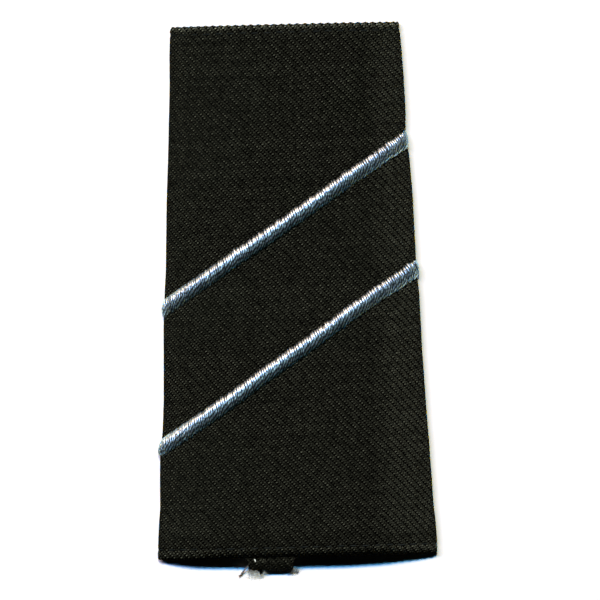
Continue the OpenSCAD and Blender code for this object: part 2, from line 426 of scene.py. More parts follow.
def makeTwill():
    n = Nodes("twillCloth")
    flat = n.add("ShaderNodeUVMap", uv_map="clothFlat").outputs[0]
    split = n.add("ShaderNodeSeparateXYZ")
    n.plug(flat, split.inputs[0])
    places = split.outputs[:2]
    strays = [n.math("MULTIPLY_ADD", n.noise(flat, scale, 3.0), twill["uneven"] * 4, -twill["uneven"] * 2)
              for scale in twill["unevenScales"]]
    u, v = (n.math("ADD", place, stray) for place, stray in zip(places, strays))
    i, j = n.math("FLOOR", u), n.math("FLOOR", v)
    fu, fv = n.math("SUBTRACT", u, i), n.math("SUBTRACT", v, j)

    # from 1 in the middle of a yarn to a lower value at its two sides
    def across(f, side):
        c = n.math("MULTIPLY_ADD", f, 2.0, -1.0)
        return n.math("MULTIPLY_ADD", n.math("MULTIPLY", c, c), side - 1.0, 1.0)

    # rises and dips along a yarn, 1 at a place and every fourth yarn from there
    def wave(along, index, at):
        turn = n.math("MULTIPLY", n.math("ADD", n.math("ADD", along, index), -at), math.pi / 2)
        return n.math("COSINE", turn)

    # a place along a yarn that leans to one side of it
    def leaning(along, f, lean):
        return n.math("ADD", along, n.math("MULTIPLY_ADD", f, -lean, lean / 2))

    # a value of its own for each yarn or crossing
    def chance(dimensions, socket, source):
        node = n.add("ShaderNodeTexWhiteNoise", noise_dimensions=dimensions)
        n.plug(source, node.inputs[socket])
        return node.outputs["Value"]

    warp = n.math("MULTIPLY_ADD", wave(v, i, 1.0), twill["warpRise"], twill["warpLift"])
    weft = n.math("MULTIPLY", wave(u, j, 3.0), twill["weftRise"])
    weft = n.math("ADD", weft, n.math("MULTIPLY", across(fv, 0.0), twill["weftRound"]))
    hairs = n.noise(flat, *twill["hairs"])
    height = n.math("ADD", n.math("MAXIMUM", warp, weft), n.math("MULTIPLY", hairs, twill["fuzz"]))

    # the plies of a warp yarn catch the light in a short stroke that rises to the right, a highlight painted
    # into the colour, as is the shade on the weft yarns and at the sides of all yarns
    stroke = wave(leaning(v, fu, twill["warpLean"]), i, twill["warpShineAt"])
    warpShine = n.math("MULTIPLY", n.ramp(stroke, twill["warpSharp"], 1.0, 0.0, 1.0, smooth=True),
                       across(fu, twill["warpSide"]))
    weftShade = wave(leaning(u, fv, twill["weftLean"]), j, 2.0 + twill["weftDimAt"])
    weftShine = n.math("MULTIPLY", n.ramp(weftShade, twill["weftSharp"], 1.0, *twill["weftShine"], smooth=True),
                       across(fv, twill["weftSide"]))
    shine = n.add("ShaderNodeMix", data_type="FLOAT")
    warpOver = n.math("GREATER_THAN", warp, weft)
    for socket, source in zip(shine.inputs[:1] + shine.inputs[2:4], (warpOver, weftShine, warpShine)):
        n.plug(source, socket)

    cell = n.add("ShaderNodeCombineXYZ")
    n.plug(i, cell.inputs[0])
    n.plug(j, cell.inputs[1])
    tones = [n.spread(chance("1D", "W", i), 0, 1, twill["warpSpread"]),
             n.spread(chance("1D", "W", n.math("ADD", j, 0.37)), 0, 1, twill["weftSpread"]),
             n.spread(n.noise(flat, 0.05, 3.0), 0.3, 0.7, twill["patchSpread"]),
             n.spread(hairs, 0.31, 0.69, twill["hairSpread"]),
             n.spread(chance("2D", "Vector", cell.outputs[0]), 0, 1, twill["crossingSpread"]),
             n.spread(n.noise(flat, 2.3, 0.0), 0.33, 0.67, twill["speckSpread"])]
    grow = n.ramp(places[0], *twill["growFrom"], 0.0, 1.0, smooth=True)
    grow = n.math("MULTIPLY_ADD", grow, twill["grow"], 1.0)
    # painted light and shade over the ribs
    for alongU, alongV, crest, follow, depth, grows in twill["waves"]:
        turns = (n.math("MULTIPLY", u, alongU), n.math("MULTIPLY", v, alongV))
        swing = n.math("MULTIPLY", wave(*turns, crest + follow * twill["warpShineAt"]), depth)
        if grows:
            swing = n.math("MULTIPLY", swing, grow)
        tones.append(n.math("ADD", swing, 1.0))
    # painted light along the right, the left and the narrow edge
    for direction, start, end, before, after, soft in twill["worn"]:
        tones.append(n.ramp(places[direction], start, end, before, after, smooth=soft))
    for low, high, soft, tone in twill["hemRows"]:
        inBand = n.math("MULTIPLY", n.ramp(places[1], low - soft, low, 0.0, tone - 1.0, smooth=True),
                        n.ramp(places[1], high, high + soft, 1.0, 0.0, smooth=True))
        tones.append(n.math("ADD", inBand, 1.0))
    # painted shade along the wide edge, and none past it
    turned, pastEdge = (n.ramp(places[1], *twill[key]) for key in ("turned", "pastEdge"))
    tones.append(n.math("MAXIMUM", turned, pastEdge))
    tone = tones[0]
    for other in tones[1:]:
        tone = n.math("MULTIPLY", tone, other)

    # the base colour paints the weave's highlights and shade, times its tones
    n.give({"Base Color": n.blend(n.math("MULTIPLY", shine.outputs[0], tone), twill["gap"], twill["crown"]),
            "Normal": n.bump(height, 1.0, mm),
            "Roughness": n.ramp(height, 0.0, 0.15, *twill["roughness"]),
            "Specular IOR Level": 0.0})
    return n.material


# Thread of the stripes, of the hems and of the loose ends
threadFinish = {
    "stripeThread": {"colour": (0.191, 0.281, 0.286, 1.0), "roughness": 0.41, "metallic": 0.97,
                     "specular": 0.5, "grain": 2700.0, "uneven": 0.9},
    "blackThread": {"colour": (0.0035, 0.0055, 0.0050, 1.0), "roughness": 0.6, "metallic": 0.0,
                    "specular": 0.08, "grain": 9000.0, "uneven": 0.25},
    # the fluff's grey partly paints the tab's soft shadow
    "fluffAndSoftShade": {"colour": (0.58, 0.62, 0.56, 1.0), "roughness": 0.8, "metallic": 0.0,
                  "specular": 0.2, "grain": 9000.0, "uneven": 0.25},
    "looseThread": {"colour": (0.42, 0.36, 0.30, 1.0), "roughness": 0.7, "metallic": 0.0,
                    "specular": 0.3, "grain": 9000.0, "uneven": 0.25},
}


def makeThread(name):
    finish = threadFinish[name]
    n = Nodes(name)
    tone = n.add("ShaderNodeAttribute", attribute_name="tone").outputs["Fac"]
    place = n.add("ShaderNodeTexCoord").outputs["Object"]
    hairs = n.noise(place, finish["grain"], 2.0, 0.6)
    grey = n.add("ShaderNodeCombineColor")
    shade = n.math("MULTIPLY", tone, n.spread(hairs, 0.25, 0.75, finish["uneven"]))
    for socket in grey.inputs[:3]:
        n.plug(shade, socket)
    n.give({"Base Color": n.blend(1.0, finish["colour"], grey.outputs[0], "MULTIPLY"),
            "Normal": n.bump(hairs, 0.25, 0.03 * mm),
            "Roughness": finish["roughness"],
            "Metallic": finish["metallic"],
            "Specular IOR Level": finish["specular"]})
    return n.material


twillCloth = makeTwill()
stripeThread, blackThread, fluffAndSoftShade, looseThread = (makeThread(name) for name in threadFinish)
print("materials made")

# The two embroidered stripes, in mm and degrees
stripes = {
    "angle": 33.7,
    "width": 3.06,
    "height": 0.72,
    "gap": 0.08,
    "upperAt": 14.13,
    "lowerAt": -13.19,
    "wrap": 145.0,          # how far round each side fold
    "drift": 0.12,          # how much of the way round a fold counts as way across
    "threadPitch": 0.42,    # from one thread to the next
    "threadWidth": 0.60,
    "threadSteps": 38,
    "threadSides": 12,
    "endRoom": 0.3,         # from the ends of the stripe to the first and last thread
    "spare": 0.4,           # length that the count of threads leaves out
    "leanLeft": 6.0,        # how far the threads lean back from straight up
    "leanRight": 24.0,
    "bow": 0.05,            # how far a thread bends off its line
    "plyTurn": 1.70,        # length of one turn of the two plies
    "plyRise": 56.0,        # slope of the plies where they cross the threads
    "plyDepth": 0.2,
    "plyStray": 0.75,       # how far the plies of a thread stray from their neighbours, once and on and on
    "plyDrift": 0.55,
    "flatness": 0.24,       # height of a thread over its width
    "halfThread": 0.43,     # share of that height that stands over the thread's path
    "dome": 2.35,           # the higher, the steeper its two edges and the flatter its middle
    "edgeSink": 0.12,       # how far the threads dive into the cloth at the two edges
    "endTaper": 3.4,        # length over which the stripe flattens round a side fold
    "leastHeight": 0.08,    # what is left of its height there
    # how much the two ends sink, and how much the lower half narrows at the left end
    "upperEnds": (0.62, 1.2, 0.1),
    "lowerEnds": (0.7, 0.88, 0.5),
    "narrowUpper": (0.25, 0.2),     # how much the upper half narrows at the left and the right end
    "ragged": 0.05,         # how uneven the threads' ends are, and more so at the bottom
    "raggedLow": 0.06,
    "raggedRight": (0.04, 0.07),    # added at the top to the right, along and up
    "heightSpread": 0.02,   # how much the threads differ in height, width and tone
    "widthSpread": 0.05,
    "toneSpread": 0.17,
    "strokes": (0.12, 1.4),         # contrast of the plies' painted highlight and shade in the bright band, and added below it
    "wornRight": 0.5,       # how much paler the lower part is at the right end, a painted light
    "brightEnds": (0.95, 0.8),      # how much brighter the top is at the left and the right end, a painted highlight
    "sunkShadeDepth": 0.5,        # how much darker the bottom ends are, a painted shade where they dive into the cloth
    # the padding's darker tone is a painted shade, as between the threads
    "padTone": 0.4,         # the padding under the threads, and how far it stays inside them at the ends,
    "padEnd": 0.2,          # at the two edges and at the top
    "padEdge": 0.22,
    "padTop": 0.13,
    "padRows": 150,
    "padArc": 11,
    # how far each stripe strays from a straight line, at places across the mark
    "strayAt": (-26, -21, -15.5, -10, -7, -1.5, 4.5, 7.5, 10, 13, 16, 19, 22, 26),
    "upperStray": (0.25, 0.1, 0.04, 0.08, -0.04, -0.12, -0.1, -0.02, 0.0, 0.08, 0.0, -0.04, -0.15, -0.15),
    "lowerStray": (-0.06, -0.2, -0.28, -0.3, -0.1, -0.04, -0.04, 0.12, 0.16, 0.26, 0.34, 0.28, 0.0, -0.05),
    # how the stitching sinks the cloth beside a stripe and puckers it
    "pullDepth": 0.13,
    "pullReach": 0.7,
    "puckerDepth": 0.035,
    "puckerReach": 1.6,
    "puckerStep": 2.1,
}


# Height of a stripe's middle for each distance over the cloth from the centre line. Round a fold only a
# part of the way counts as way across the picture.
def middleTable(at, stray):
    rise = math.tan(math.radians(stripes["angle"]))
    u = np.linspace(-44, 44, 1761)
    x = lookUp(evenX, u, at + rise * u)
    rate = np.clip(np.gradient(x, u), 0, 1)
    rate = rate + stripes["drift"] * (1 - rate)
    across = np.concatenate([[0], np.cumsum((rate[1:] + rate[:-1]) / 2 * np.diff(u))])
    across = across - np.interp(0, u, across)
    return u, at + rise * across + np.interp(across, stripes["strayAt"], stray)


middleTables = {stripes[at]: middleTable(stripes[at], stripes[stray])
                for at, stray in (("upperAt", "upperStray"), ("lowerAt", "lowerStray"))}


def stripeMiddle(at, u):
    return np.interp(u, *middleTables[at])


# Distances over the cloth at which a stripe ends, a set way round each side fold
def stripeEnds(at):
    ends = []
    wrapped = sleeve["foldRadius"] * math.radians(stripes["wrap"] - sleeve["foldSlope"])
    for side in (-1, 1):
        column = tableStations.index((side, "front", 1.0))
        y = at
        for _ in range(4):      # closer each time
            row = int(np.argmin(abs(tableYs - y)))
            u = tableRun[row, column] + side * wrapped
            y = float(stripeMiddle(at, u))
        ends.append(float(u))
    return ends


# Sinks the cloth beside the stripes, where the stitching pulls it, and puckers it a little
def stripePull(u, y):
    slant = math.cos(math.radians(stripes["angle"]))
    along = u / slant
    turns = 2 * math.pi * along / stripes["puckerStep"] + 2 * np.sin(along / 5)
    pucker = stripes["puckerDepth"] * np.sin(turns)
    pull = 0
    for at in (stripes["upperAt"], stripes["lowerAt"]):
        across = (y - stripeMiddle(at, u)) * slant
        away = np.maximum(abs(across) - stripes["width"] / 2, 0)
        pull = pull - stripes["pullDepth"] * np.exp(-away / stripes["pullReach"])
        pull = pull + pucker * np.exp(-away / stripes["puckerReach"])
    return pull


# Rows from an edge: close together over its roll, then in even steps past its stitch line
def edgeRows(roll, count, first, end, step):
    rolled = [roll * (1 - math.cos(a)) for a in np.linspace(0, math.pi / 2, count)]
    return rolled + list(np.arange(roll + first, end, step))


def makeSleeve():
    stations = clothStations(sleeve["columnStep"])
    half = sleeve["length"] / 2
    wideRows = edgeRows(sleeve["wideRoll"], *sleeve["wideRows"])
    narrowRows = edgeRows(sleeve["narrowRoll"], *sleeve["narrowRows"])
    middle = np.linspace(-half + wideRows[-1], half - narrowRows[-1],
                         int((2 * half - wideRows[-1] - narrowRows[-1]) / sleeve["rowStep"]) + 1)[1:-1]
    ys = np.concatenate([-half + np.array(wideRows), middle, half - np.array(narrowRows[::-1])])
    flatX, flatZ = clothGrid(stations, ys, np.zeros((len(ys), len(stations))))
    u = overCloth(flatX, flatZ)
    v = np.broadcast_to(ys[:, None], u.shape)

    fromWide, fromNarrow = (ys + half)[:, None], (half - ys)[:, None]
    nearWide = fromWide < fromNarrow
    fromEdge = np.minimum(fromWide, fromNarrow)
    lift = np.clip(1 - fromEdge / np.where(nearWide, sleeve["wideRoll"], sleeve["narrowRoll"]), 0, 1)
    rounded = sleeve["hemWall"] * (1 - np.sqrt(np.clip(1 - lift ** 2, 0, 1)))
    edgeDrop = sleeve["rollShare"] * rounded
    bent = np.clip((sleeve["droopFrom"] - fromWide) / sleeve["droopBend"], 0, None)
    droop = np.where(bent < 1, bent ** 3 - bent ** 4 / 2, bent - 0.5)
    droop = sleeve["droopSlope"] * sleeve["droopBend"] * droop

    ribs = ribWave(u, v, 1.5)
    edgeRelief = weave["edgeRelief"] * np.clip(1 - fromEdge / weave["edgeReach"], 0, 1)
    stitchIn = np.where(nearWide, sleeve["wideStitchIn"], sleeve["narrowStitchIn"])
    groove = sleeve["grooveDepth"] * np.exp(-((fromEdge - stitchIn) / sleeve["grooveWidth"]) ** 2)
    groove = groove * (0.75 - 0.25 * np.cos(2 * math.pi * u / sleeve["grooveStep"]))
    bed = sum(tall * softWaves(u, v, size, seed) for tall, size, seed in sleeve["softWaves"])
    onFront = np.array([{"front": 1.0, "fold": (1 - s) ** 2}.get(kind, 0.0) for _, kind, s in stations])
    relief = ribs * edgeRelief + (bed + stripePull(u, v)) * onFront - groove
    # what lies on the table stays flat
    relief = relief - np.clip((sleeve["flatUnder"] - flatZ) / sleeve["flatUnder"], 0, 1) * edgeRelief
    # the front droops less towards the corners
    less = np.array([float(climb(s, sleeve["cornerFrom"][side > 0], sleeve["cornerOver"][side > 0]))
                     if kind == "front" else 1 for side, kind, s in stations])
    droop = droop * onFront * (1 - sleeve["cornerLess"] * less ** 2)
    outX, outZ = clothGrid(stations, ys, edgeDrop + droop - relief)
    outZ = np.maximum(outZ, sleeve["tableGap"])
    # ribs end in small scallops along the turned edges
    scallop = ribs * lift ** 2 * np.where(nearWide, *sleeve["scallops"])
    outY = v + scallop + sleeve["narrowOut"] * np.clip(1 - fromNarrow / sleeve["narrowOutFrom"], 0, 1)

    # the inside has fewer rows, and the turned-in hem is a second layer at each end of it
    hemEnd = sleeve["hemDepth"] + np.array([-0.3, 0.0, 0.3])
    wanted = np.concatenate([-half + np.array([0.8, 1.5, 2.2, 4, 8]), half - np.array([1.2, 4, 8]),
                             -half + hemEnd, half - hemEnd, np.linspace(-half + 14, half - 14, 24)])
    nearest = np.argmin(abs(ys[:, None] - wanted), axis=0)
    innerRows = np.unique(np.concatenate([[0, 5, len(ys) - 6, len(ys) - 1], nearest]))
    innerYs = ys[innerRows]
    inside = sleeve["hemDepth"] - np.minimum(innerYs + half, half - innerYs)
    hemShare = np.clip(inside / sleeve["hemStep"] + 0.5, 0, 1)
    wall = sleeve["wall"] + (sleeve["hemWall"] - sleeve["wall"]) * hemShare
    inDepth = wall[:, None] - (rounded - edgeDrop)[innerRows] + droop[innerRows]
    inX, inZ = (table[1:-1] for table in clothGrid(stations, innerYs, inDepth))
    inV = np.repeat(innerYs[1:-1], len(stations))

    outIds = np.arange(len(ys) * len(stations)).reshape(len(ys), -1)
    freeIds = outIds.size + np.arange(inX.size).reshape(inX.shape)
    inIds = np.concatenate([outIds[:1], freeIds, outIds[-1:]])
    points = np.concatenate([np.stack([outX.ravel(), outY.ravel(), outZ.ravel()], axis=1),
                             np.stack([inX.ravel(), inV, inZ.ravel()], axis=1)])
    flat = np.concatenate([np.stack([u.ravel(), v.ravel()], axis=1),
                           np.stack([u[innerRows][1:-1].ravel(), inV], axis=1)])
    uvs = flat / weave["pitch"]
    faces = gridFaces(outIds) + gridFaces(inIds, flip=True)
    faces += zipFaces(outIds[:, 0], ys, inIds[:, 0], innerYs, flip=True)
    faces += zipFaces(outIds[:, -1], ys, inIds[:, -1], innerYs)
    piece = addPiece("sleeveCloth", points, faces, twillCloth, uvs)
    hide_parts("sleeve")
    print("sleeve:", len(ys), "rows,", len(stations), "columns,", len(faces), "faces")
    return piece


def makeStripe(name, at, nodeName, seed, ends):
    r = np.random.default_rng(seed)
    sinkLeft, sinkRight, narrowLeft = ends
    rise = math.tan(math.radians(stripes["angle"]))
    reach = stripes["width"] / 2 / math.cos(math.radians(stripes["angle"]))
    left, right = stripeEnds(at)
    count = int((right - left - stripes["spare"]) / stripes["threadPitch"])
    sides = stripes["threadSides"]
    turn = np.linspace(0, math.pi, stripes["threadSteps"])
    share = (1 - np.cos(turn)) / 2
    k = np.arange(count) / (count - 1)
    lean = np.radians(stripes["leanLeft"] + (stripes["leanRight"] - stripes["leanLeft"]) * k)
    shift = 2 * reach * np.tan(lean) / (1 + rise * np.tan(lean))
    middle = left + stripes["endRoom"] + (right - left - 2 * stripes["endRoom"]) * k
    more, moreUp = stripes["raggedRight"]
    top = middle - shift / 2 + r.normal(0, 1, count) * (stripes["ragged"] + more * k)
    low = middle + shift / 2 + r.normal(0, stripes["ragged"], count)
    topY = stripeMiddle(at, top) + reach + r.normal(0, 1, count) * (stripes["ragged"] + moreUp * k)
    lowY = stripeMiddle(at, low) - reach + r.normal(0, stripes["raggedLow"], count)
    u = top[:, None] * (1 - share) + low[:, None] * share
    y = topY[:, None] * (1 - share) + lowY[:, None] * share
    u = u + stripes["bow"] * np.sin(turn * 2 + r.uniform(0, 6.3, (count, 1)))

    # from 0 on the front to 1 at an end behind the fold
    def toEnd(u, side):
        return np.clip(1 - (u - left if side < 0 else right - u) / stripes["endTaper"], 0, 1)

    def slim(u, y):
        middle = stripeMiddle(at, u)
        upper = 1 - stripes["narrowUpper"][0] * toEnd(u, -1) - stripes["narrowUpper"][1] * toEnd(u, 1)
        return middle + (y - middle) * np.where(y < middle, 1 - narrowLeft * toEnd(u, -1), upper)

    def sunkEnds(u):
        return np.maximum(1 - sinkLeft * toEnd(u, -1) - sinkRight * toEnd(u, 1), stripes["leastHeight"])

    crown = stripes["gap"] + stripes["height"]
    crown = crown - stripes["halfThread"] * stripes["threadWidth"] * stripes["flatness"]
    lift = crown * (1 - abs(2 * share - 1) ** stripes["dome"]) * sunkEnds(u)
    lift = lift + r.normal(0, stripes["heightSpread"], (count, 1)) * np.sin(turn)
    lift = lift - stripes["edgeSink"] * (1 - np.sin(turn)) ** 4
    point, out = onCloth(u, slim(u, y))
    paths = point + out * lift[..., None]
    radii = stripes["threadWidth"] / 2 * (1 + r.normal(0, stripes["widthSpread"], (count, 1)))
    radii = radii * (0.72 + 0.28 * np.sin(turn) ** 0.5)
    # the plies of neighbouring threads line up to short strokes that rise to the right
    plyRise = math.tan(math.radians(stripes["plyRise"]))
    phase = 2 * math.pi * (point[:, 0, 1] - point[:, 0, 0] * plyRise) / stripes["plyTurn"]
    phase = phase + r.normal(0, stripes["plyStray"], count)
    phase = phase + np.cumsum(r.normal(0, stripes["plyDrift"], count))
    points, faces, crest = spinTubes(paths, out, radii, turn=stripes["plyTurn"], lobe=stripes["plyDepth"],
                                     sides=sides, phase=phase, flatness=stripes["flatness"])
    # the plies' painted highlight and shade show less in the bright band at the top, and the right end's
    # lower part is painted paler, a painted light
    lowPart = climb(share, 0.25, 0.35)
    worn = 1 + stripes["wornRight"] * climb(k[:, None], 0.8, 0.2) * lowPart
    # painted highlight on the top near both ends
    brightLeft, brightRight = stripes["brightEnds"]
    nearEnd = brightLeft * np.clip(1 - (k - 0.03) / 0.13, 0, 1) + brightRight * climb(k, 0.885, 0.08)
    # painted shade on the bottom ends
    sunkShade = 1 - stripes["sunkShadeDepth"] * climb(share, 0.93, 0.07)
    tone = (1 + r.normal(0, stripes["toneSpread"], (count, 1))) * worn
    tone = tone * (1 + nearEnd[:, None] * (1 - lowPart)) * sunkShade
    # painted highlight and shade on the plies
    contrast = np.broadcast_to(stripes["strokes"][0] + stripes["strokes"][1] * lowPart, worn.shape)
    strokes = 1 + np.repeat(contrast, sides) * (2.2 * crest ** 2 - 0.8)
    tone = np.repeat(tone, sides) * np.maximum(strokes, 0.05)

    # the padding under the threads closes the stripe, in a darker tone that paints the shade between them
    arc = np.linspace(0, math.pi, stripes["padArc"])
    padU = np.linspace(left + stripes["padEnd"], right - stripes["padEnd"], stripes["padRows"])
    padU = np.repeat(padU[:, None], 2 * len(arc), axis=1)
    offset = np.concatenate([np.cos(arc), np.cos(arc[::-1])]) * (reach - stripes["padEdge"])
    padLift = 0.03 + (crown - stripes["padTop"]) * np.sin(arc) ** 2
    padLift = np.concatenate([padLift, np.full(len(arc), 0.02)])
    padLift = padLift * sunkEnds(padU)
    padPoint, padOut = onCloth(padU, slim(padU, stripeMiddle(at, padU) + offset))
    padding = (padPoint + padOut * padLift[..., None]).reshape(-1, 3)
    ids = len(points) + np.arange(padU.size).reshape(padU.shape)
    wrapped = np.concatenate([ids, ids[:, :1]], axis=1)
    faces += gridFaces(wrapped, flip=True) + [list(ids[0]), list(ids[-1, ::-1])]
    points = np.concatenate([points, padding])
    tone = np.concatenate([tone, np.full(len(padding), stripes["padTone"])])
    points[:, 2] = np.maximum(points[:, 2], 0.02)
    piece = addPiece(name, points, faces, stripeThread, tone=tone)
    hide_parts(nodeName)
    print(name + ":", count, "threads,", len(faces), "faces")
    return piece


# The two allowances of the back seam, in mm. Their ends hang frayed out of the wide mouth.
allowance = {
    "width": 6.0,
    "thickness": 0.55,
    "lift": 0.1,            # over the back panel inside
    "narrowEnd": 52.0,
    "overhang": 2.55,
    "tabLeft": -9.95,       # the sides of the frayed tab
    "tabRight": -0.75,
    "bulge": 1.3,           # how far the tab rises, and then sinks to its end
    "sink": 0.5,
    "cornerCut": 0.5,       # how far the outer corner of the worn end is rounded off
    "uneven": 0.05,
    "ribRelief": 0.04,
    "edgePinch": 0.2,       # how much the outer edges thin out
    "endThinner": 0.35,     # share of the thickness lost at the end
    "weaveShift": (0.4, 0.3),       # so that its yarns don't run on from the sleeve's
}


# One allowance: a thin closed strip that lies on the back panel and curls out of the wide mouth
def makeAllowance(name, side, nodeName, seed):
    half = sleeve["length"] / 2
    near = sleeve["seamX"] + side * 0.01
    far = sleeve["seamX"] + side * (0.15 + allowance["width"])
    tabFar = allowance["tabRight"] if side > 0 else allowance["tabLeft"]
    ys = np.concatenate([np.linspace(-half - allowance["overhang"], -half + 1, 26),
                         np.linspace(-half + 1, allowance["narrowEnd"], 60)[1:]])
    y, share = np.meshgrid(ys, np.linspace(0, 1, 24), indexing="ij")
    out = climb(y, -half + 0.6, -1.6)
    out = out * out * (3 - 2 * out)
    x = near + (far + (tabFar - far) * out - near) * share
    # the worn end is ragged and its outer corner rounded
    ragged = allowance["uneven"] * softWaves(x, x * 0, 0.9, seed + 5)
    ragged = ragged + allowance["cornerCut"] * climb(share, 0.72, 0.28) ** 2
    y = y + ragged * climb(y, -half - 1.2, -1.8)
    past = climb(y, -half + 0.4, -(allowance["overhang"] + 0.4))
    rise = allowance["bulge"] * np.sin(math.pi / 2 * climb(past, 0, 0.5))
    rise = rise - allowance["sink"] * climb(past, 0.5, 0.5) ** 1.5
    low = sleeve["hemWall"] + allowance["lift"] + rise
    low = low + allowance["uneven"] * softWaves(x, y, 3.0, seed) * (0.3 + past) + 0.03
    top = low + allowance["thickness"] * (1 - allowance["endThinner"] * climb(past, 0.6, 0.4))
    ribs = allowance["ribRelief"] * ribWave(x, y)
    pinch = allowance["edgePinch"] * climb(share, 0.94, 0.06)
    ids = np.arange(y.size).reshape(y.shape)
    points = np.concatenate([np.stack([x, y, top + ribs - pinch], axis=-1).reshape(-1, 3),
                             np.stack([x, y, low + pinch * 0.5], axis=-1).reshape(-1, 3)])
    other = ids + y.size
    faces = gridFaces(ids, flip=side < 0) + gridFaces(other, flip=side > 0)
    for a, b, turned in ((ids[:, 0], other[:, 0], side > 0), (ids[:, -1], other[:, -1], side < 0),
                         (ids[0], other[0], side < 0), (ids[-1], other[-1], side > 0)):
        faces += gridFaces(np.stack([a, b], axis=1), flip=turned)
    uvs = points[:, :2] / weave["pitch"] + allowance["weaveShift"]
    piece = addPiece(name, points, faces, twillCloth, uvs)
    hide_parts(nodeName)
    print(name + ":", len(faces), "faces")
    return piece, np.stack([x[0], y[0], (top[0] + low[0]) / 2], axis=1)


# Short bent strands from given roots: a list of paths, all with the same number of steps
def strandPaths(roots, tips, sag, r, steps=7):
    t = np.linspace(0, 1, steps)[None, :, None]
    paths = roots[:, None, :] * (1 - t) + tips[:, None, :] * t
    bend = r.normal(0, 1, (len(roots), 1, 3)) * sag * np.linalg.norm(tips - roots, axis=1)[:, None, None]
    paths = paths + bend * np.sin(math.pi * t)
    paths[..., 2] = np.maximum(paths[..., 2], 0.05)
    return paths


upward = np.array([0.05, 0.1, 1.0])     # a little off straight up, so that no strand runs along it


# Groups of tubes, each with its paths, directions, radii, tone and settings, as one piece
def tubePiece(name, groups, material):
    points, faces, tones = [], [], []
    for paths, outs, radii, tone, settings in groups:
        tubes, walls, _ = spinTubes(paths, outs, radii, **settings)
        start = sum(len(p) for p in points)
        points.append(tubes)
        faces += [[v + start for v in face] for face in walls]
        tones.append(np.full(len(tubes), tone))
    points = np.concatenate(points)
    points[:, 2] = np.maximum(points[:, 2], 0.01)
    piece = addPiece(name, points, faces, material, tone=np.concatenate(tones))
    print(name + ":", len(faces), "faces")
    return piece


# What hangs out at the frayed tab, in mm
fraying = {
    "yarns": 34,
    "yarnRadius": 0.11,
    "tuftRadius": 0.12,
    "tufts": ((-7.25, 1.05, 9), (-1.6, 0.9, 6)),    # middle, reach and count of the longer yarns
    # pale fluff that partly stands in for the tab's soft shadow on the table, and a dark group at the right
    # that paints that shadow: thin side, thick side, count, start past the end, reach and tone
    "fluff": ((-9.9, -7.1, 380, 0.0, 1.8, 1.0), (0.5, -1.1, 110, 0.05, 1.0, 0.2)),
    "fluffRadius": 0.018,
    "lintAt": (-8.5, -54.88, 2.75),         # a comma-shaped bit of lint on the tab
    "lintRadius": 0.13,
    "lintTone": 1.15,
    "bitAt": (-8.85, -55.55, 2.6),          # and a smaller one
    "bitRadius": 0.08,
    "bitTone": 0.35,
    "threadAt": (-10.0, -55.7, 0.3),        # a loose twisted thread
    "threadRadius": 0.17,
    "threadTone": 0.5,
    "wisps": 9,
    "wispRadius": 0.04,
    "wispTone": 0.7,
}
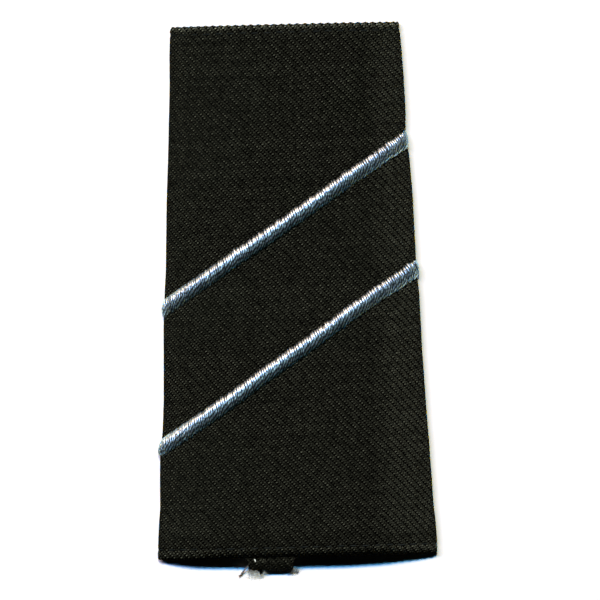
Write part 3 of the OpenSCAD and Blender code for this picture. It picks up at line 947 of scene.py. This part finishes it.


# Yarn ends, pale fluff with a bit of lint, and a loose twisted thread at the frayed tab. The fluff partly
# stands in for the tab's soft shadow on the table.
def makeFraying(edge):
    r = np.random.default_rng(21)
    edge = edge[np.argsort(edge[:, 0])]
    tabLeft, tabRight = allowance["tabLeft"], allowance["tabRight"]

    def along(x):
        y, z = (np.interp(x, edge[:, 0], edge[:, column]) for column in (1, 2))
        return np.stack([x, y, z], axis=1)

    count = fraying["yarns"]
    x = np.sort(r.uniform(tabLeft + 0.2, tabRight - 0.1, count))
    roots = along(x) + np.array([0, 0.15, 0])
    tips = roots + np.stack([r.normal(0, 0.08, count), -r.uniform(0.2, 0.4, count),
                             -r.uniform(0.1, 0.4, count)], axis=1)
    groups = [(strandPaths(roots, tips, 0.12, r), upward, fraying["yarnRadius"], 1.0,
               {"turn": 0.9, "lobe": 0.35, "sides": 6})]
    for middle, reach, count in fraying["tufts"]:
        x = middle + r.uniform(-0.3, 0.3, count)
        roots = along(x) + np.array([0, 0.2, -0.05])
        tips = roots + np.stack([r.normal(0, 0.1, count), -r.uniform(0.7, 1.0, count) * reach,
                                 -r.uniform(0.3, 0.6, count)], axis=1)
        groups.append((strandPaths(roots, tips, 0.1, r), upward, fraying["tuftRadius"], 0.8,
                       {"turn": 0.9, "lobe": 0.3, "sides": 6}))
    ends = tubePiece("frayedYarns", groups, blackThread)

    groups = []
    # fluff strands, grey at the left and dark at the right, partly standing in for the tab's soft shadow on
    # the table
    for thin, thick, count, start, far, tone in fraying["fluff"]:
        x = thick + (thin - thick) * r.uniform(0, 1, count) ** 1.5
        roots = np.stack([np.clip(x, tabLeft + 0.1, tabRight + 0.6),
                          edge[:, 1].min() - start - r.uniform(-0.15, 0.15, count),
                          1.6 - r.uniform(0, 0.5, count)], axis=1)
        tips = np.stack([x + r.normal(0, 0.25, count), roots[:, 1] - r.uniform(0.2, 1.0, count) * far,
                         r.uniform(0.1, 0.9, count)], axis=1)
        groups.append((strandPaths(roots, tips, 0.25, r), upward, fraying["fluffRadius"], tone, {"sides": 4}))
    t = np.linspace(-1, 1, 13)
    lintX, lintY, lintZ = fraying["lintAt"]
    lint = np.stack([lintX - 0.12 * t ** 2, lintY - 0.55 * t, lintZ - 0.1 * t ** 2], axis=1)[None]
    radii = (fraying["lintRadius"] * np.sqrt(np.clip(1 - (t + 0.2) ** 2 * 0.7, 0.03, 1)))[None]
    groups.append((lint, upward, radii, fraying["lintTone"], {"sides": 10}))
    bitX, bitY, bitZ = fraying["bitAt"]
    bit = np.stack([bitX + 0.12 * t, bitY + 0.3 * t, bitZ + 0 * t], axis=1)[None]
    radii = (fraying["bitRadius"] * np.sqrt(np.clip(1 - t ** 2, 0.04, 1)))[None]
    groups.append((bit, upward, radii, fraying["bitTone"], {"sides": 8}))
    fluff = tubePiece("fluffAndSoftShade", groups, fluffAndSoftShade)
    fluff.visible_shadow = False    # too thin to darken or light the table
    fluff.visible_diffuse = False

    t = np.linspace(0, 1, 26)
    startX, startY, endZ = fraying["threadAt"]
    loose = np.stack([startX - 1.5 * t - 0.12 * np.sin(math.pi * t), startY - 1.85 * t,
                      1.6 * (1 - t) ** 1.3 + endZ], axis=1)[None]
    groups = [(loose, upward, (fraying["threadRadius"] + 0.12 * t ** 2)[None], fraying["threadTone"],
               {"turn": 1.2, "lobe": 0.5, "sides": 12})]
    count = fraying["wisps"]
    roots = np.repeat(loose[:, -2], count, axis=0) + r.normal(0, 0.12, (count, 3))
    tips = roots + np.stack([r.normal(-0.2, 0.15, count), r.normal(-0.3, 0.15, count),
                             r.normal(0, 0.1, count)], axis=1)
    groups.append((strandPaths(roots, tips, 0.2, r), upward, fraying["wispRadius"], fraying["wispTone"],
                   {"sides": 5}))
    thread = tubePiece("looseThread", groups, looseThread)
    return [ends, fluff, thread]


# The stitches of the hems and the back seam, in mm
stitching = {
    "length": 2.1,
    "gap": 0.4,
    "radius": 0.15,
    "depth": 0.16,          # under the cloth's outside, and further down at the two ends of a stitch
    "endDepth": 0.3,
    "wideLower": 0.02,      # how much lower the row of the wide hem lies
    "fromSeam": 0.8,
    "seamPitch": 2.4,
    "seamRadius": 0.12,
    "twist": {"turn": 0.8, "lobe": 0.3, "sides": 8},
}


# Topstitching round both hems, in short stitches that sink into the cloth at each end
def makeHemStitches():
    r = np.random.default_rng(33)
    half = sleeve["length"] / 2
    pitch = stitching["length"] + stitching["gap"]
    groups = []
    for y0, lower in ((-half + sleeve["wideStitchIn"], stitching["wideLower"]),
                      (half - sleeve["narrowStitchIn"], 0)):
        row = int(np.argmin(abs(tableYs - y0)))
        low = tableRun[row, sleeve["seamSteps"]] + stitching["fromSeam"]
        high = tableRun[row, -1 - sleeve["seamSteps"]] - stitching["fromSeam"]
        starts = np.arange(low, high - stitching["length"], pitch)
        t = np.linspace(0, 1, 9)
        u = starts[:, None] + stitching["length"] * t
        y = y0 + 0.05 * np.sin(u / 7) + r.normal(0, 0.03, (len(starts), 1)) + 0.05 * (t - 0.5)
        point, out = onCloth(u, y)
        point = point - np.array([0, 0, lower])
        lift = -stitching["depth"] - stitching["endDepth"] * (1 - np.sin(math.pi * t) ** 0.4)
        paths = point + out * lift[None, :, None]
        radii = stitching["radius"] * (0.8 + 0.2 * np.sin(math.pi * t))[None] * np.ones((len(starts), 1))
        groups.append((paths, out, radii, 1.0, stitching["twist"]))
    # the seam in the back is closed by stitches across its valley
    ys = np.arange(-half + 3, half - 3, stitching["seamPitch"])
    t = np.linspace(-1, 1, 9)
    valley = np.stack([sleeve["seamX"] + 0.42 * t[None, :] + 0 * ys[:, None], ys[:, None] + 0.5 * t[None, :],
                       0.42 - 0.1 * (1 - t[None, :] ** 2) + 0 * ys[:, None]], axis=-1)
    groups.append((valley, np.array([0.0, 0.0, -1.0]), stitching["seamRadius"], 1.0, stitching["twist"]))
    return tubePiece("hemStitches", groups, blackThread)


sleeveCloth = makeSleeve()
upperStripe = makeStripe("upperStripeThreads", stripes["upperAt"], "upper_stripe", 11, stripes["upperEnds"])
lowerStripe = makeStripe("lowerStripeThreads", stripes["lowerAt"], "lower_stripe", 12, stripes["lowerEnds"])
leftAllowance, leftEdge = makeAllowance("leftAllowance", -1, "seam_allowance_left", 41)
rightAllowance, rightEdge = makeAllowance("rightAllowance", 1, "seam_allowance_right", 42)
frayedEnds, fluff, thread = makeFraying(np.concatenate([leftEdge, rightEdge]))
tabPieces = [leftAllowance, rightAllowance, frayedEnds, fluff, thread]
hemStitches = makeHemStitches()

# Floor, camera and lights
view = {
    "tilt": 1.4,            # degrees that the sleeve leans to the left
    "lens": 600.0,
    "sensor": 36.0,
    "frame": 121.8,         # width of the picture, in mm, at a height over the floor
    "frameHeight": 4.0,
    "centre": (1.885, -1.877),
}
paperWhite = 0.85


def makeFloor():
    mesh = bpy.data.meshes.new("floor")
    mesh.from_pydata([(-3, -3, 0), (3, -3, 0), (3, 3, 0), (-3, 3, 0)], [], [(0, 1, 2, 3)])
    floor = addObject("floor", mesh)
    n = Nodes("palePaper")
    white = (paperWhite, paperWhite, paperWhite, 1)
    n.give({"Base Color": white, "Roughness": 1.0, "Specular IOR Level": 0.0})
    mesh.materials.append(n.material)
    floor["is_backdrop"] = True
    return floor


def makeCamera():
    data = bpy.data.cameras.new("camera")
    data.lens = view["lens"]
    data.sensor_width = view["sensor"]
    data.clip_end = 100
    camera = addObject("camera", data)
    height = view["frame"] * view["lens"] / view["sensor"] + view["frameHeight"]
    camera.location = (view["centre"][0] * mm, view["centre"][1] * mm, height * mm)
    camera.rotation_euler = (0, 0, -math.radians(view["tilt"]))
    bpy.context.scene.camera = camera


# A collection that a lamp can be kept to
def groupOf(name, members):
    group = bpy.data.collections.new(name)
    for member in members:
        group.objects.link(member)
    return group


floor = makeFloor()
makeCamera()
stripePair = (upperStripe, lowerStripe)
floorOnly = groupOf("floorOnly", [floor])
markOnly = groupOf("markOnly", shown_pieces())
clothOnly = groupOf("clothOnly", [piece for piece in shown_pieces() if piece not in stripePair])
stripesOnly = groupOf("stripesOnly", stripePair)
tabOnly = groupOf("tabOnly", tabPieces)
fluffOnly = groupOf("fluffOnly", [fluff])

# Turn is from straight above the picture, clockwise; height is above the floor; both in degrees.
# Strength is the brightness that it gives a flat white surface. Then come colour, softness and group.
lights = {
    "key": (0, 45, 1.6, (1.0, 1.0, 1.0), 5, clothOnly),
    "stripeCool": (-25, 50, 1.31, (0.172, 0.395, 0.895), 4, stripesOnly),
    "stripeWarm": (-25, 38, 1.36, (0.903, 0.434, 0.19), 4, stripesOnly),
    "stripeSoft": (-25, 77, 0.085, (0.65, 1.16, 0.85), 36, stripesOnly),
    "fill": (180, 20, 0.006, (0.7, 1.0, 0.75), 60, markOnly),
    "floorCool": (0, 67.3, 0.28, (0.12, 0.62, 1.0), 6, floorOnly),
    "floorWarm": (0, 63.8, 0.40, (0.88, 0.60, 0.0), 6, floorOnly),
    "tab": (0, 45, 1.3, (1.0, 1.0, 1.0), 5, tabOnly),
    "fluff": (0, 85, 0.5, (1.0, 1.0, 1.0), 60, fluffOnly),
}


def addSun(name, turn, height, level, colour, softness, receivers):
    a, e = math.radians(turn), math.radians(height)
    data = bpy.data.lights.new(name, "SUN")
    data.energy = math.pi * level / math.sin(e) / (paperWhite if receivers is floorOnly else 1.0)
    data.color = colour
    data.angle = math.radians(softness)
    lamp = addObject(name, data)
    lamp.rotation_mode = "QUATERNION"
    lamp.rotation_quaternion = Vector((math.sin(a) * math.cos(e) * -1, -math.cos(a) * math.cos(e),
                                       -math.sin(e))).to_track_quat("-Z", "Y")
    lamp.light_linking.receiver_collection = receivers
    if receivers is tabOnly:        # the hem lets this one through
        lamp.light_linking.blocker_collection = tabOnly


for name, settings in lights.items():
    addSun(name, *settings)

# Long strip lights over the mark that reach out to the left, so that its right side has a soft shade.
# Sizes are in metres, and the two ends are shares of the height over the floor.
strips = {
    "above": 2.0,
    "left": -1.0,
    "right": 0.12,
    "lamps": {"stripCool": (67.3, 0.85, (0.12, 0.42, 1.0), 6),
              "stripWarm": (63.8, 0.74, (0.88, 0.46, 0.0), 6)},
}


def addStrip(name, height, level, colour, softness):
    above = strips["above"]
    back = above / math.tan(math.radians(height))
    left, right = strips["left"] * above, strips["right"] * above
    data = bpy.data.lights.new(name, "AREA")
    data.shape = "RECTANGLE"
    data.size = right - left
    data.size_y = math.radians(softness) * above / math.sin(math.radians(height)) ** 2
    x = np.linspace(left, right, 200)
    share = float(np.mean(above ** 2 / (x ** 2 + back ** 2 + above ** 2) ** 2))
    data.energy = math.pi ** 2 * level / paperWhite / share
    data.color = colour
    lamp = addObject(name, data)
    lamp.location = ((left + right) / 2, back, above)
    lamp.light_linking.receiver_collection = floorOnly


for name, settings in strips["lamps"].items():
    addStrip(name, *settings)


# The camera sees white round the floor, and next to nothing of it lights the mark
def makeWorld():
    world = bpy.data.worlds.new("white")
    bpy.context.scene.world = world
    world.use_nodes = True
    tree = world.node_tree
    back = tree.nodes["Background"]
    path = tree.nodes.new("ShaderNodeLightPath")
    seen = tree.nodes.new("ShaderNodeMapRange")
    seen.inputs["To Min"].default_value = 0.001
    seen.inputs["To Max"].default_value = 1.0
    tree.links.new(path.outputs["Is Camera Ray"], seen.inputs["Value"])
    tree.links.new(seen.outputs[0], back.inputs["Strength"])
    back.inputs["Color"].default_value = (1, 1, 1, 1)


makeWorld()
bpy.context.scene.view_settings.view_transform = "Standard"
print("lights and camera set")
